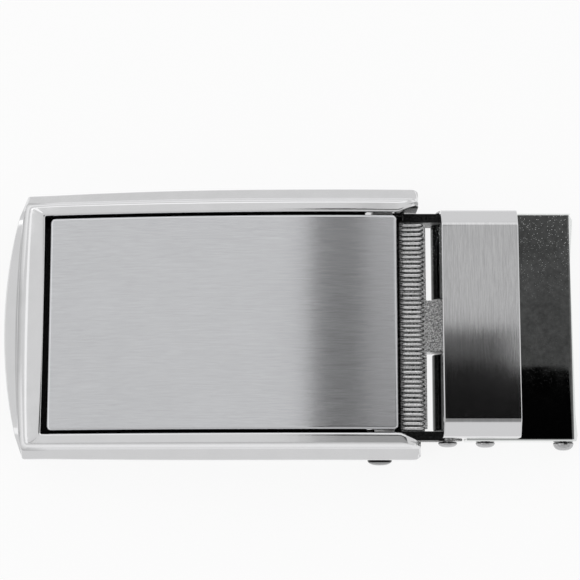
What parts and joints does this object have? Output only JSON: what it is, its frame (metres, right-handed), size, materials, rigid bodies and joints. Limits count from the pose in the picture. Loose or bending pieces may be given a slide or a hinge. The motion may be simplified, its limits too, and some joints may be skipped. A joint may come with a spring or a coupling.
{
  "type": "ratchet belt buckle",
  "caption": "Ratchet belt buckle with a framed face plate that lifts as the release lever, a hinged strap clasp with keeper band, and a toothed clamp jaw.",
  "frame": {"origin": "under the middle of the whole buckle, on the surface it lies on", "axes": "+X along the belt towards the clasp's mouth, +Y across the belt, +Z out of the face"},
  "size_m": [0.094, 0.0454, 0.0117],
  "materials": {
    "satin_cast_metal": "cast zinc alloy, satin nickel plated, smooth",
    "raw_cast_metal": "cast zinc alloy, plated over a rough cast skin",
    "brushed_plate": "brushed along the belt",
    "brushed_band": "brushed across the belt, polished shoulders",
    "dark_polished_sheet": "polished sheet steel, mirror bright",
    "polished_rivet": "polished steel rivet",
    "plain_plated_steel": "plain plated steel"
  },
  "bodies": {
    "frame": {"bezel_frame": "satin_cast_metal", "base_plate": "raw_cast_metal", "lever_pin": "polished_rivet", "hinge_pin": "polished_rivet"},
    "lever": {"face_plate": "brushed_plate", "pawl_lever": "plain_plated_steel"},
    "clasp": {"clasp_channel": "dark_polished_sheet", "keeper_band": "brushed_band", "stop_pin": "polished_rivet", "jaw_pin": "polished_rivet"},
    "jaw": {"clamp_jaw": "plain_plated_steel"}
  },
  "joints": [
    {"name": "lever_hinge", "type": "hinge", "parent": "frame", "child": "lever", "pos_m": [0.0146, 0, 0.0024], "axis": [0, 1, 0], "range_deg": [0, 25], "stiffness_Nm_per_rad": 0.02, "springref_deg": -14.32},
    {"name": "clasp_hinge", "type": "hinge", "parent": "frame", "child": "clasp", "pos_m": [0.0258, 0, 0.0024], "axis": [0, 1, 0], "range_deg": [-18, 70]},
    {"name": "jaw_hinge", "type": "hinge", "parent": "clasp", "child": "jaw", "pos_m": [0.0449, 0, 0.0018], "axis": [0, -1, 0], "range_deg": [0, 80]}
  ]
}
